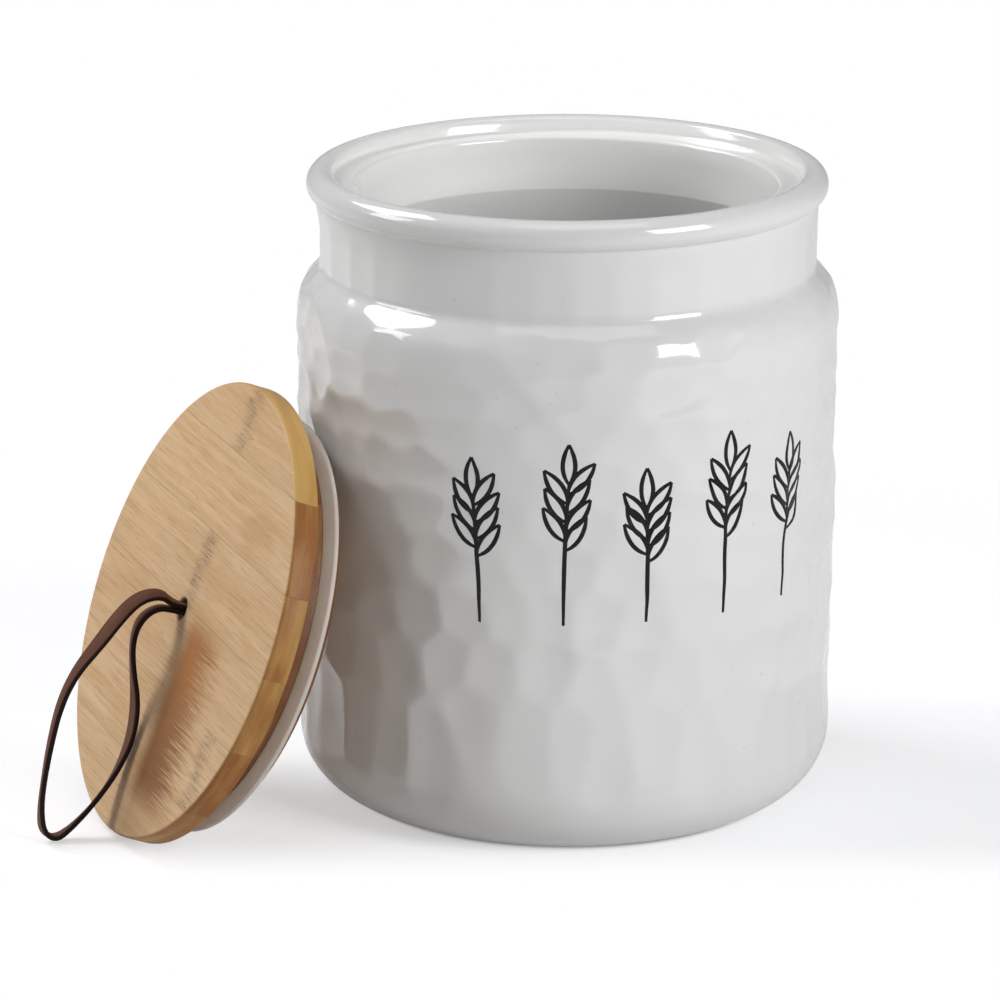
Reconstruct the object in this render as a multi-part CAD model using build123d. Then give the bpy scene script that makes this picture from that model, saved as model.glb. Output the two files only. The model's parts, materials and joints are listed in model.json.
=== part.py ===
"""Biscuit jar: a glazed stoneware jar with a rolled rim, a lid of glued bamboo strips with a
silicone gasket, and a flat leather thong looped through the lid. Millimetres, +Z up.

The jar stands on the plane z = 0 with its axis on the Z axis. The lid is off the jar: its
edge stands on the same plane and its plug leans against the side of the jar.
"""
from build123d import *
import os
from math import acos, cos, hypot, radians, sin, tan

# ---------------------------------------------------------------- jar, outside
jar_height = 193.0
body_radius = 82.5          # widest, at the start of the shoulder
body_taper = 2.0            # narrower by this much at the foot
lower_rounding = 20.0
shoulder_depth = 44.0       # from the top of the rim down to the start of the shoulder
shoulder_width = 7.2        # from the body in to the neck
shoulder_slope = 45.0       # degrees from upright
shoulder_round = 17.0       # convex, wall into shoulder
shoulder_hollow = 3.0       # concave, shoulder into neck
bead_radius = 4.6           # section of the rolled rim
bead_overhang = 2.9         # of the rolled rim beyond the neck
bead_steps = 8              # points that guide the smooth section of the rim
bead_crease = 0.8           # rounding where the rim meets the neck
foot_width = 10.0           # unglazed ring that the jar stands on
foot_recess = 1.5
foot_edge = 0.6

# ---------------------------------------------------------------- jar, inside
recess_inset = 2.8          # wall of the lid's recess, inwards from the middle of the rim
recess_edge = 1.4
ledge_depth = 4.7           # from the top of the rim down to the ledge that carries the lid
ledge_width = 7.6
ledge_hollow = 0.8
bore_length = 16.8          # the gasket presses on this stretch
bore_edge = 1.2
wall_thickness = 6.0
undercut_rise = 3.0         # full inner width is reached this far above the shoulder's start
undercut_round = 4.0
floor_thickness = 7.0

# ---------------------------------------------------------------- lid
lid_clearance = 0.8         # round the board in its recess
board_thickness = 7.8
board_front_edge = 1.2      # rounding of the edges
board_back_edge = 0.8
plug_clearance = 2.7        # between the plug and the bore
plug_thickness = 12.8
plug_edge = 1.0
plug_strip_count = 5        # bamboo strips glued edge to edge; the board's are as wide
narrowest_strip = 6.0
board_joint_offset = 1.5    # from the lid's centre to the nearest glue line of the board
board_grain_turn = -2.0     # degrees, of the board's strips from level
plug_grain_turn = 88.0      # the plug's strips lie crosswise

# ---------------------------------------------------------------- gasket
groove_start = 6.6          # from the board to the groove round the plug
groove_width = 4.2
groove_depth = 3.5
gasket_squeeze = 0.8        # how far the relaxed lip reaches past the bore's wall
gasket_band = 0.3           # how far the band stands out of the groove
gasket_skin = 1.3           # thickness of the lip

# ---------------------------------------------------------------- leather thong
strap_width = 4.8
strap_thickness = 1.6
strap_layer_gap = 0.2       # between the two tails in the hole
strap_hole_clearance = 0.3
knot_overlap = 2.4          # how far the knot is wider than the hole
knot_height = 7.0
knot_gap = 0.3

# ---------------------------------------------------------------- how the lid leans
lean_azimuth = 203.6        # degrees, the way the lid's face points, from +X
lean_rise = 21.15           # degrees, how far the face points up
lean_sideways = -3.8        # lid's centre from the upright plane through the jar's axis
lean_clearance = 0.3        # between the lid and the jar's wall

# ---------------------------------------------------------------- worked out from the above
low_radius = body_radius - body_taper
foot_outer = low_radius - lower_rounding
foot_inner = foot_outer - foot_width
neck_radius = body_radius - shoulder_width
shoulder_level = jar_height - shoulder_depth
shoulder_arc_rise = shoulder_round * tan(radians(shoulder_slope / 2))
neck_corner = shoulder_level + shoulder_arc_rise + shoulder_width / tan(radians(shoulder_slope))
bead_centre = neck_radius + bead_overhang - bead_radius
bead_level = jar_height - bead_radius

recess_radius = bead_centre - recess_inset
ledge_level = jar_height - ledge_depth
mouth_radius = recess_radius - ledge_width
bore_bottom = ledge_level - bore_length
inner_radius = body_radius - wall_thickness
inner_low_radius = low_radius - wall_thickness
inner_rounding = lower_rounding - wall_thickness
undercut_bottom = shoulder_level + undercut_rise

lid_radius = recess_radius - lid_clearance
plug_radius = mouth_radius - plug_clearance
plug_bottom = board_thickness + plug_thickness
strip_width = 2 * plug_radius / plug_strip_count
plug_joint_offset = strip_width / 2
groove_top = board_thickness + groove_start
groove_bottom = groove_top + groove_width
groove_radius = plug_radius - groove_depth
gasket_band_radius = plug_radius + gasket_band
gasket_lip_radius = mouth_radius + gasket_squeeze
gasket_lip_bottom = groove_bottom - gasket_skin / 2

tail_middle = (strap_thickness + strap_layer_gap) / 2
tails_corner = hypot(strap_width / 2, strap_thickness + strap_layer_gap / 2)
strap_hole_radius = tails_corner + strap_hole_clearance
knot_radius = strap_hole_radius + knot_overlap

# The thong's middle line, as (distance in front of the face, height above the lid's centre).
# It leaves the hole, arches over, falls to the ground, folds and climbs back to the hole.
strap_route = [
    (0.0, tail_middle),
    (3.6, tail_middle),
    (8.1, 2.9),
    (14.2, 0.0),
    (18.0, -6.5),
    (21.5, -16.2),
    (25.8, -26.8),
    (27.1, -37.7),
    (25.7, -50.5),
    (23.6, -62.5),
    (21.6, -70.4),
    (18.9, -76.2),
    (14.3, -77.4),
    (10.6, -72.8),
    (6.9, -65.9),
    (3.7, -57.5),
    (2.0, -48.6),
    (2.0, -39.8),
    (4.4, -30.2),
    (9.0, -20.6),
    (11.9, -12.6),
    (11.7, -6.0),
    (8.1, -1.7),
    (3.8, -tail_middle),
    (0.0, -tail_middle),
]


def wall_radius(height):
    """Outer radius of the jar's plain wall at a height."""
    share = (height - lower_rounding) / (shoulder_level - lower_rounding)
    return low_radius + body_taper * share


def lid_place():
    """Centre of the lid's face and the way it points, for a lid that stands on the ground with
    the back edge of its board and leans on the jar with the edge of its plug or gasket."""
    rise = radians(lean_rise)
    centre_height = (
        (lid_radius - board_back_edge) * cos(rise)
        + (board_thickness - board_back_edge) * sin(rise)
        + board_back_edge
    )
    plug_depth = plug_bottom - plug_edge
    plug_reach = (
        plug_depth * cos(rise)
        + (plug_radius - plug_edge) * sin(rise)
        + plug_edge
    )
    gasket_reach = gasket_lip_bottom * cos(rise) + gasket_lip_radius * sin(rise)
    touch_height = centre_height - plug_depth * sin(rise) + plug_radius * cos(rise)
    distance = wall_radius(touch_height) + lean_clearance + max(plug_reach, gasket_reach)
    outward = Vector(1, 0, 0).rotate(Axis.Z, lean_azimuth)
    sideways = Vector(0, 1, 0).rotate(Axis.Z, lean_azimuth)
    centre = outward * distance + sideways * lean_sideways + Vector(0, 0, centre_height)
    return centre, outward * cos(rise) + Vector(0, 0, sin(rise))


lid_centre, lid_normal = lid_place()
lid_level = Vector(0, 0, 1).cross(lid_normal).normalized()
lid_plane = Plane(origin=lid_centre, x_dir=lid_level, z_dir=lid_normal)
lid_seat = lid_plane.location
strap_seat = Plane(origin=lid_centre, x_dir=lid_normal, z_dir=-lid_level).location


# ---------------------------------------------------------------- helpers
def section_of(points):
    """A flat face in the XZ plane from its (x, z) corners."""
    return make_face(Polyline(*[(x, 0, z) for x, z in points], close=True))


def soften(face, corners):
    """Round corners of a face in the XZ plane, given as {(x, z): radius}."""
    for (x, z), radius in corners.items():
        corner = face.vertices().sort_by_distance(Vector(x, 0, z))[0]
        face = fillet(corner, radius)
    return face


def spin(face):
    """Turn a section drawn in the XZ plane round the Z axis."""
    return revolve(face, axis=Axis.Z)


def cut_in_strips(disc, radius, offset):
    """Saw a disc about the Z axis into strips along X; offset is one glue line's Y."""
    widest_line = radius - narrowest_strip
    line = offset - strip_width * int((widest_line + offset) / strip_width)
    joints = [-2 * radius]
    while line < widest_line:
        joints.append(line)
        line += strip_width
    joints.append(2 * radius)
    strips = []
    for low, high in zip(joints, joints[1:]):
        saw = Pos(0, (low + high) / 2, 0) * Box(4 * radius, high - low, 4 * plug_bottom)
        strips.append(disc & saw)
    return strips


# ---------------------------------------------------------------- jar
def rolled_rim():
    """Points round the rim's section, from the top of the neck over to the recess."""
    start = -acos((neck_radius - bead_centre) / bead_radius)
    end = acos(-recess_inset / bead_radius)
    angles = [start + (end - start) * step / bead_steps for step in range(bead_steps + 1)]
    return [
        (bead_centre + bead_radius * cos(angle), bead_level + bead_radius * sin(angle))
        for angle in angles
    ]


def jar_body():
    """One fired piece: foot, wall, shoulder, neck, rolled rim, ledge and bore."""
    rim = rolled_rim()
    neck_top = rim[0][1]
    recess_top = rim[-1][1]
    with BuildLine(Plane.XZ) as outline:
        Polyline(
            (0, foot_recess),
            (foot_inner, foot_recess),
            (foot_inner, 0),
            (foot_outer, 0),
        )
        CenterArc((foot_outer, lower_rounding), lower_rounding, -90, 90)
        Line((low_radius, lower_rounding), (body_radius, shoulder_level))
        shoulder = CenterArc(
            (body_radius - shoulder_round, shoulder_level), shoulder_round, 0, shoulder_slope
        )
        Polyline(shoulder @ 1, (neck_radius, neck_corner), (neck_radius, neck_top))
        Spline(*rim)
        Polyline(
            (recess_radius, recess_top),
            (recess_radius, ledge_level),
            (mouth_radius, ledge_level),
            (mouth_radius, bore_bottom),
            (inner_radius, undercut_bottom),
            (inner_low_radius, floor_thickness),
            (0, floor_thickness),
            (0, foot_recess),
        )
    section = soften(
        make_face(outline.line),
        {
            (foot_inner, 0): foot_edge,
            (neck_radius, neck_corner): shoulder_hollow,
            (neck_radius, neck_top): bead_crease,
            (recess_radius, recess_top): recess_edge,
            (recess_radius, ledge_level): ledge_hollow,
            (mouth_radius, ledge_level): bore_edge,
            (mouth_radius, bore_bottom): bore_edge,
            (inner_radius, undercut_bottom): undercut_round,
            (inner_low_radius, floor_thickness): inner_rounding,
        },
    )
    return spin(section)


# ---------------------------------------------------------------- lid
def board_strips():
    """The board that shows on top, in strips."""
    section = section_of(
        [
            (strap_hole_radius, 0),
            (lid_radius, 0),
            (lid_radius, -board_thickness),
            (strap_hole_radius, -board_thickness),
        ]
    )
    section = soften(
        section,
        {
            (lid_radius, 0): board_front_edge,
            (lid_radius, -board_thickness): board_back_edge,
        },
    )
    return cut_in_strips(spin(section), lid_radius, board_joint_offset)


def plug_strips():
    """The plug that goes down the bore, in strips, with the gasket's groove round it."""
    section = section_of(
        [
            (strap_hole_radius, -board_thickness),
            (plug_radius, -board_thickness),
            (plug_radius, -groove_top),
            (groove_radius, -groove_top),
            (groove_radius, -groove_bottom),
            (plug_radius, -groove_bottom),
            (plug_radius, -plug_bottom),
            (strap_hole_radius, -plug_bottom),
        ]
    )
    section = soften(section, {(plug_radius, -plug_bottom): plug_edge})
    return cut_in_strips(spin(section), plug_radius, plug_joint_offset)


def gasket():
    """Silicone ring: a band that fills the groove and a lip that flares away from the board."""
    lip_top = gasket_lip_bottom - gasket_skin
    slot_top = groove_top + 2 * gasket_skin
    lip_inner = gasket_lip_radius - gasket_skin
    slot_outer = gasket_band_radius + 2 * gasket_band
    section = section_of(
        [
            (groove_radius, -groove_top),
            (gasket_band_radius, -groove_top),
            (gasket_lip_radius, -lip_top),
            (gasket_lip_radius, -gasket_lip_bottom),
            (lip_inner, -gasket_lip_bottom),
            (slot_outer, -slot_top),
            (gasket_band_radius, -slot_top),
            (gasket_band_radius, -groove_bottom),
            (groove_radius, -groove_bottom),
        ]
    )
    section = soften(
        section,
        {
            (gasket_lip_radius, -lip_top): gasket_skin / 2,
            (gasket_lip_radius, -gasket_lip_bottom): gasket_skin / 3,
            (lip_inner, -gasket_lip_bottom): gasket_skin / 3,
        },
    )
    return spin(section)


# ---------------------------------------------------------------- leather thong
def strap_corner_radii():
    """The largest arc that the two runs at each point of the route allow."""
    points = [Vector(*point) for point in strap_route]
    radii = []
    for before, here, after in zip(points, points[1:], points[2:]):
        arriving = here - before
        leaving = after - here
        half_turn = radians(arriving.get_angle(leaving) / 2)
        radii.append(0.45 * min(arriving.length, leaving.length) / tan(half_turn))
    return radii


def strap_loop():
    """The loop outside the hole, a flat thong with its width across the loop's plane."""
    radii = strap_corner_radii()
    print("thong radii:", [round(radius, 1) for radius in radii])
    path = FilletPolyline(*strap_route, radius=radii)
    start = Plane(origin=path @ 0, x_dir=(0, 0, 1), z_dir=path % 0)
    loop = sweep(start * Rectangle(strap_width, strap_thickness), path)
    expected = strap_width * strap_thickness * path.length
    print(f"thong length {path.length:.1f}, volume {loop.volume:.1f}, expected {expected:.1f}")
    return loop


def strap_tail(side):
    """One tail in the hole, from the face to the knot; side is 1 for the upper, -1 the lower."""
    length = plug_bottom + knot_gap
    return Pos(-length / 2, side * tail_middle, 0) * Box(length, strap_thickness, strap_width)


def strap_knot():
    """The knot under the plug: a bulging disc, flat where the tails go in."""
    top = -plug_bottom - knot_gap
    bottom = top - knot_height
    with BuildLine(Plane.XZ) as outline:
        Line((0, top), (tails_corner, top))
        ThreePointArc(
            (tails_corner, top), (knot_radius, (top + bottom) / 2), (tails_corner, bottom)
        )
        Polyline((tails_corner, bottom), (0, bottom), (0, top))
    return spin(make_face(outline.line))


# ---------------------------------------------------------------- all pieces, in their places
nodes = {"jar_body": jar_body()}
for number, strip in enumerate(board_strips(), start=1):
    nodes[f"lid_board_strip_{number}"] = lid_seat * Rot(0, 0, board_grain_turn) * strip
for number, strip in enumerate(plug_strips(), start=1):
    nodes[f"lid_plug_strip_{number}"] = lid_seat * Rot(0, 0, plug_grain_turn) * strip
nodes["lid_gasket"] = lid_seat * gasket()
nodes["strap_loop"] = strap_seat * strap_loop()
nodes["strap_tail_1"] = strap_seat * strap_tail(1)
nodes["strap_tail_2"] = strap_seat * strap_tail(-1)
nodes["strap_knot"] = lid_seat * strap_knot()

os.makedirs("parts", exist_ok=True)
for name, solid in nodes.items():
    export_step(solid, f"parts/{name}.step")
    box = solid.bounding_box()
    print(f"{name}: {solid.volume / 1000:.2f} cm3, z {box.min.Z:.2f} to {box.max.Z:.2f}")
print("lid centre", lid_centre, "normal", lid_normal)
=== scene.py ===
# %% [markdown]
# # A biscuit jar, from plain solids to a finished picture
#
# The object is a white stoneware jar with a rolled rim and a softly hammered wall. Its lid is
# glued from strips of bamboo, carries a silicone ring, and leans on the jar's side. A flat
# leather thong is looped through the lid. The plain solids of these pieces are already packed
# as a frame, in metres, with the jar standing on the plane z = 0. This notebook gives every
# piece its real surface: a mesh where the shape has more to tell than the solid, and a
# procedural material on all of them.

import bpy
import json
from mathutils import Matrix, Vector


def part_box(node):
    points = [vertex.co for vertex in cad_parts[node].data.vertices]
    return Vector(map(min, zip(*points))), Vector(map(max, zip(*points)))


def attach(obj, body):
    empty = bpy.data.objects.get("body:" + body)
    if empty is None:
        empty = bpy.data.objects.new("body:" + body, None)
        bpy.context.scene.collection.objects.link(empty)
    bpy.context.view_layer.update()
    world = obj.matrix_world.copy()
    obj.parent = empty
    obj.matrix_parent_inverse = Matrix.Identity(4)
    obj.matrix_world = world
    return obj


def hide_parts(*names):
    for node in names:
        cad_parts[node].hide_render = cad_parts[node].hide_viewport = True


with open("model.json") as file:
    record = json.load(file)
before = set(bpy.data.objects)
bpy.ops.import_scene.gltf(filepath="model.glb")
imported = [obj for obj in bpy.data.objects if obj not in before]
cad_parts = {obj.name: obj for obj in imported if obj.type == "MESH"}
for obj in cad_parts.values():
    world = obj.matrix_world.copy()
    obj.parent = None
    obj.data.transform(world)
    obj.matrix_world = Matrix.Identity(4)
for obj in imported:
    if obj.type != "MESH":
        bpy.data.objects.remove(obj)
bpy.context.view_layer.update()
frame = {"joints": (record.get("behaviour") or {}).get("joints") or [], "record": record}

# %% [markdown]
# The frame answers most questions about size. The jar's own box gives its height and its
# widest radius, the mouth is a named mount with its radius, and the hinge of the thong is the
# middle of the lid's face, with the way that the face points.

# %% Read the main sizes from the frame
import json
import math

import bpy
from mathutils import Matrix, Vector

MM = 0.001

jar_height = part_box("jar_body")[1].z
body_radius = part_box("jar_body")[1].x
mouth = next(mount for mount in frame["record"]["mounts"] if mount["name"] == "mouth")
mouth_radius = mouth["dims"]["r_mm"] * MM
turn = next(joint for joint in frame["joints"] if joint["name"] == "strap_turn")
lid_centre = Vector(turn["pos_m"])
lid_normal = Vector(turn["axis"])
print(f"jar {jar_height:.4f} high, {body_radius:.4f} wide, mouth {mouth_radius:.4f}")

# %% [markdown]
# The jar's other sizes follow from its height and its widest radius. They are used again and
# again: the glaze is painted whiter inside the wall, as painted light, the lid fits the recess
# in the rim, and the floor in the seam round the foot is painted dark, as painted shade.

# %% Sizes of the jar
low_radius = body_radius - 2.0 * MM
lower_rounding = 20.0 * MM
foot_outer = low_radius - lower_rounding
foot_inner = foot_outer - 10.0 * MM
foot_recess = 1.5 * MM
neck_radius = body_radius - 7.2 * MM
shoulder_level = jar_height - 44.0 * MM
shoulder_round = 17.0 * MM
shoulder_hollow = 3.0 * MM
shoulder_corner = shoulder_level + shoulder_round * math.tan(math.radians(22.5))
neck_corner = shoulder_corner + body_radius - neck_radius
bead_radius = 4.6 * MM
bead_centre = neck_radius + 2.9 * MM - bead_radius
bead_level = jar_height - bead_radius
recess_radius = bead_centre - 2.8 * MM
ledge_level = jar_height - 4.7 * MM
bore_bottom = ledge_level - 16.8 * MM
inner_radius = body_radius - 6.0 * MM
inner_low_radius = low_radius - 6.0 * MM
undercut_bottom = shoulder_level + 3.0 * MM
floor_level = 7.0 * MM
print(f"neck {neck_radius:.4f}, ledge at {ledge_level:.4f}")

# %% [markdown]
# The lid leans, so its pieces are drawn lying flat at the origin and then moved to their place
# with one matrix. Its columns are a level line across the face, the line that climbs the face,
# and the way the face points.

# %% The lid's place
lid_level = Vector((0, 0, 1)).cross(lid_normal).normalized()
lid_up = lid_normal.cross(lid_level)
lid_place = Matrix.Translation(lid_centre) @ Matrix(
    (lid_level, lid_up, lid_normal)
).transposed().to_4x4()

# %% [markdown]
# ## The camera
#
# A camera is placed first, because it tells which sides deserve the finest work. It stands
# well back with a long lens, so that the jar's sides stay nearly upright, and looks down
# enough to show the mouth.

# %% Place the camera
camera_distance = 1.5266
camera_height = 0.5308
camera_pitch = 0.2819
camera_yaw = 0.0132

camera_data = bpy.data.cameras.new("studio_camera")
camera_data.sensor_width = 36.0
camera_data.lens = 187.75
camera = bpy.data.objects.new("studio_camera", camera_data)
camera.location = (0, -camera_distance, camera_height)
camera.rotation_euler = (math.pi / 2 - camera_pitch, 0, camera_yaw)
bpy.context.scene.collection.objects.link(camera)
bpy.context.scene.camera = camera
print(f"camera {camera_distance:.3f} in front, {camera_height:.3f} high")

# %% [markdown]
# ## The thong's route
#
# The thong is a flat band of leather. It comes out of the hole in the lid, arches forward,
# hangs to the ground, folds, and climbs back to the hole. A handful of listed points guide one
# smooth NURBS line. They lie in the upright plane through the hole: the first number is the
# distance in front of the face, the second the height above the hole. Leather that hangs free
# also twists, so a third number says how many degrees the band is turned there.

# %% The thong's size and its guide points
thong_width = 0.0048
thong_thickness = 0.0016
thong_route = [
    (0.0, 0.0009, 0),
    (0.0036, 0.0009, -10),
    (0.0081, 0.0029, -22),
    (0.0142, 0.0, -30),
    (0.018, -0.0065, -36),
    (0.0215, -0.0162, -28),
    (0.0258, -0.0268, -4),
    (0.0271, -0.0377, 3),
    (0.0257, -0.0505, 8),
    (0.0236, -0.0625, 16),
    (0.0216, -0.0704, 8),
    (0.0189, -0.0762, -6),
    (0.0143, -0.0774, 0),
    (0.0106, -0.0728, -18),
    (0.0069, -0.0659, -27),
    (0.0037, -0.0575, -26),
    (0.002, -0.0486, -8),
    (0.002, -0.0398, 6),
    (0.0044, -0.0302, 10),
    (0.009, -0.0206, -12),
    (0.0119, -0.0126, -13),
    (0.0117, -0.006, -2),
    (0.0081, -0.0017, -6),
    (0.0038, -0.0009, 0),
    (0.0, -0.0009, 0),
]
print(f"{len(thong_route)} guide points")


# %% Draw the route as one smooth line
def in_front(distance, height):
    """A point at that distance in front of the lid's face and height above its hole."""
    return lid_centre + lid_normal * distance + lid_up * height


def smooth_line(name, points):
    """The points of a smooth NURBS line guided by some points."""
    curve = bpy.data.curves.new(name, "CURVE")
    curve.dimensions = "3D"
    spline = curve.splines.new("NURBS")
    spline.points.add(len(points) - 1)
    for control, place in zip(spline.points, points):
        control.co = (*place, 1)
    spline.order_u = 3
    spline.use_endpoint_u = True
    spline.resolution_u = 6
    guide = bpy.data.objects.new(name, curve)
    line = bpy.data.meshes.new_from_object(guide)
    bpy.data.objects.remove(guide)
    return [vertex.co.copy() for vertex in line.vertices]


thong_line = smooth_line("thong_line", [in_front(*guide[:2]) for guide in thong_route])
thong_twist = smooth_line("thong_twist", [(guide[2], 0, 0) for guide in thong_route])
thong_steps = [(b - a).length for a, b in zip(thong_line, thong_line[1:])]
print(f"thong line: {len(thong_line)} points, {sum(thong_steps):.4f} long")

# %% [markdown]
# ## Helpers for node trees
#
# Both materials and Geometry Nodes are built from small boxes joined by links. One helper adds
# a box, sets its properties and fills its inputs, each with a value or with the output of
# another box. The others do sums. Those need no tree, because the output of a box knows the
# tree that it is in.

# %% Helpers: add a node
def add(tree, kind, values=None, **settings):
    """Add a node; values go to its inputs by name or number, settings to its properties."""
    node = tree.nodes.new(kind)
    for name, value in settings.items():
        setattr(node, name, value)
    for name, value in (values or {}).items():
        if isinstance(value, bpy.types.NodeSocket):
            tree.links.new(value, node.inputs[name])
        else:
            node.inputs[name].default_value = value
    return node


def first(tree, kind, values=None, **settings):
    """The first output of a new node."""
    return add(tree, kind, values, **settings).outputs[0]


def tree_of(*values):
    """The tree that the first output among these values is in."""
    return next(value.id_data for value in values if isinstance(value, bpy.types.NodeSocket))


# %% Helpers: sums with numbers
def sum_of(operation, *values):
    """The result of a Math node, such as SINE, POWER or MAXIMUM."""
    inputs = dict(enumerate(values))
    return first(tree_of(*values), "ShaderNodeMath", inputs, operation=operation)


def plus(left, right):
    return sum_of("ADD", left, right)


def minus(left, right):
    return sum_of("SUBTRACT", left, right)


def over(left, right):
    return sum_of("DIVIDE", left, right)


def times(product, *factors):
    for factor in factors:
        product = sum_of("MULTIPLY", product, factor)
    return product


def spread(value, low, high, to_low=0.0, to_high=1.0):
    """A value from low to high, moved smoothly to the span from to_low to to_high."""
    values = {"Value": value, "From Min": low, "From Max": high}
    values.update({"To Min": to_low, "To Max": to_high})
    return first(value.id_data, "ShaderNodeMapRange", values, interpolation_type="SMOOTHSTEP")


# %% Helpers: sums with places and directions
def vector(tree, **parts):
    """A vector from its parts, given as X, Y and Z."""
    return first(tree, "ShaderNodeCombineXYZ", parts)


def parts_of(place):
    """The three parts of a vector, called X, Y and Z."""
    return add(place.id_data, "ShaderNodeSeparateXYZ", {0: place}).outputs


def vector_sum(operation, *values):
    """The result of a Vector Math node, such as ADD or NORMALIZE."""
    inputs = dict(enumerate(values))
    return first(tree_of(*values), "ShaderNodeVectorMath", inputs, operation=operation)


def scaled(direction, factor):
    """A direction times a number."""
    values = {0: direction, "Scale": factor}
    return first(direction.id_data, "ShaderNodeVectorMath", values, operation="SCALE")


def length_of(place):
    """How long a vector is."""
    return add(place.id_data, "ShaderNodeVectorMath", {0: place}, operation="LENGTH").outputs[1]


def flattened(place):
    """The level part of a vector."""
    return vector_sum("MULTIPLY", place, (1, 1, 0))


# %% [markdown]
# A tree for Geometry Nodes needs named inputs, so that each piece can bring its own sizes. The
# modifier's inputs are set by the identifier of the socket, because names can change. When the
# tree has done its work, the result is kept as a plain mesh and the modifier goes.

# %% Helpers: a tree with named inputs
SOCKETS = {
    float: "NodeSocketFloat",
    int: "NodeSocketInt",
    bpy.types.Material: "NodeSocketMaterial",
    bpy.types.Object: "NodeSocketObject",
    bpy.types.Mesh: "NodeSocketGeometry",
}


def new_tree(name, kinds):
    """A Geometry Nodes tree with a line, a material, and the inputs named for each kind."""
    labels = {"line": bpy.types.Mesh, "material": bpy.types.Material}
    for kind, names in kinds.items():
        labels.update(dict.fromkeys(names.split(), kind))
    tree = bpy.data.node_groups.new(name, "GeometryNodeTree")
    for label, kind in labels.items():
        tree.interface.new_socket(label, in_out="INPUT", socket_type=SOCKETS[kind])
    tree.interface.new_socket("shape", in_out="OUTPUT", socket_type="NodeSocketGeometry")
    return tree, tree.nodes.new("NodeGroupInput").outputs


def end_tree(shape, material):
    """Turn instances into real faces, give them their material, and send them out."""
    tree = shape.id_data
    real = first(tree, "GeometryNodeRealizeInstances", {"Geometry": shape})
    dressed = first(tree, "GeometryNodeSetMaterial", {"Geometry": real, "Material": material})
    add(tree, "NodeGroupOutput", {"shape": dressed})
    print(f"tree {tree.name}: {len(tree.nodes)} nodes")


# %% Helpers: places of points, and numbers that they carry
def here_on(tree):
    """The place of each point."""
    return first(tree, "GeometryNodeInputPosition")


def moved(shape, places):
    """A shape with its points moved to other places."""
    return first(shape.id_data, "GeometryNodeSetPosition", {"Geometry": shape, "Position": places})


def carry(shape, name, number):
    """A shape whose points carry a number under a name."""
    values = {"Geometry": shape, "Name": name, "Value": number}
    return first(shape.id_data, "GeometryNodeStoreNamedAttribute", values)


def carried(tree, name, kind="FLOAT"):
    """The number that each point carries under a name."""
    return first(tree, "GeometryNodeInputNamedAttribute", {"Name": name}, data_type=kind)


def at_random(index, seed, reach):
    """A random number from -reach to reach for each point."""
    values = {2: -reach, 3: reach, "ID": index, "Seed": seed}
    return add(index.id_data, "FunctionNodeRandomValue", values, data_type="FLOAT").outputs[1]


def round_axis(radius, angle, height):
    """The place at a radius, an angle and a height round the Z axis."""
    east = times(radius, sum_of("COSINE", angle))
    north = times(radius, sum_of("SINE", angle))
    return vector(angle.id_data, X=east, Y=north, Z=height)


# %% Helpers: a line, a piece grown from it, and its place in the frame
def line_mesh(name, points, **attributes):
    """A chain of points joined by edges, with a number or a direction for every point."""
    mesh = bpy.data.meshes.new(name)
    mesh.from_pydata(points, [(i, i + 1) for i in range(len(points) - 1)], [])
    for label, values in attributes.items():
        of_vectors = isinstance(values[0], Vector)
        layer = mesh.attributes.new(label, "FLOAT_VECTOR" if of_vectors else "FLOAT", "POINT")
        for item, value in zip(layer.data, values):
            setattr(item, "vector" if of_vectors else "value", value)
    return mesh


def grow(name, line, tree, **values):
    """Run a tree on a line with its own values and keep the result as a plain mesh."""
    piece = bpy.data.objects.new(name, line)
    bpy.context.scene.collection.objects.link(piece)
    modifier = piece.modifiers.new("shape", "NODES")
    modifier.node_group = tree
    for socket in tree.interface.items_tree:
        if socket.name in values:
            modifier[socket.identifier] = values[socket.name]
    depsgraph = bpy.context.evaluated_depsgraph_get()
    grown = bpy.data.meshes.new_from_object(
        piece.evaluated_get(depsgraph), preserve_all_data_layers=True, depsgraph=depsgraph
    )
    piece.modifiers.clear()
    piece.data = grown
    return piece


def wear(piece, body, slot, *nodes):
    """Let a piece ride on a body and hide the solids."""
    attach(piece, body)
    if nodes:
        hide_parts(*nodes)
    print(f"{piece.name}: {len(piece.data.polygons)} faces")


# %% [markdown]
# ## Materials
#
# Every material is one Principled shader with its details painted by noise. A short helper
# makes the shader and hands back its tree. Numbers that are the same all over are set on the
# shader's own sockets.

# %% Helpers: start a material, mix colours, speckle it with noise
def new_material(name, **constants):
    """A material with one Principled shader and its constant inputs, and its tree."""
    material = bpy.data.materials.new(name)
    material.use_nodes = True
    shader = material.node_tree.nodes["Principled BSDF"]
    for label, value in constants.items():
        shader.inputs[label.replace("_", " ")].default_value = value
    return material, material.node_tree


def mix(amount, first_colour, second_colour, blend="MIX"):
    """Mix two colours by an amount; at least one of the three comes from a node."""
    tree = tree_of(amount, first_colour, second_colour)
    values = {0: amount, 6: first_colour, 7: second_colour}
    return add(tree, "ShaderNodeMix", values, data_type="RGBA", blend_type=blend).outputs[2]


def noise(place, scale, detail=2.0, roughness=0.5, stretch=None):
    """Noise with that many lumps a metre, stretched along the axes if wished."""
    if stretch:
        place = first(place.id_data, "ShaderNodeMapping", {"Vector": place, "Scale": stretch})
    values = {"Vector": place, "Scale": scale, "Detail": detail, "Roughness": roughness}
    return first(place.id_data, "ShaderNodeTexNoise", values)


def attribute(tree, name):
    """A number that the mesh carries."""
    return add(tree, "ShaderNodeAttribute", attribute_name=name).outputs["Fac"]


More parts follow.
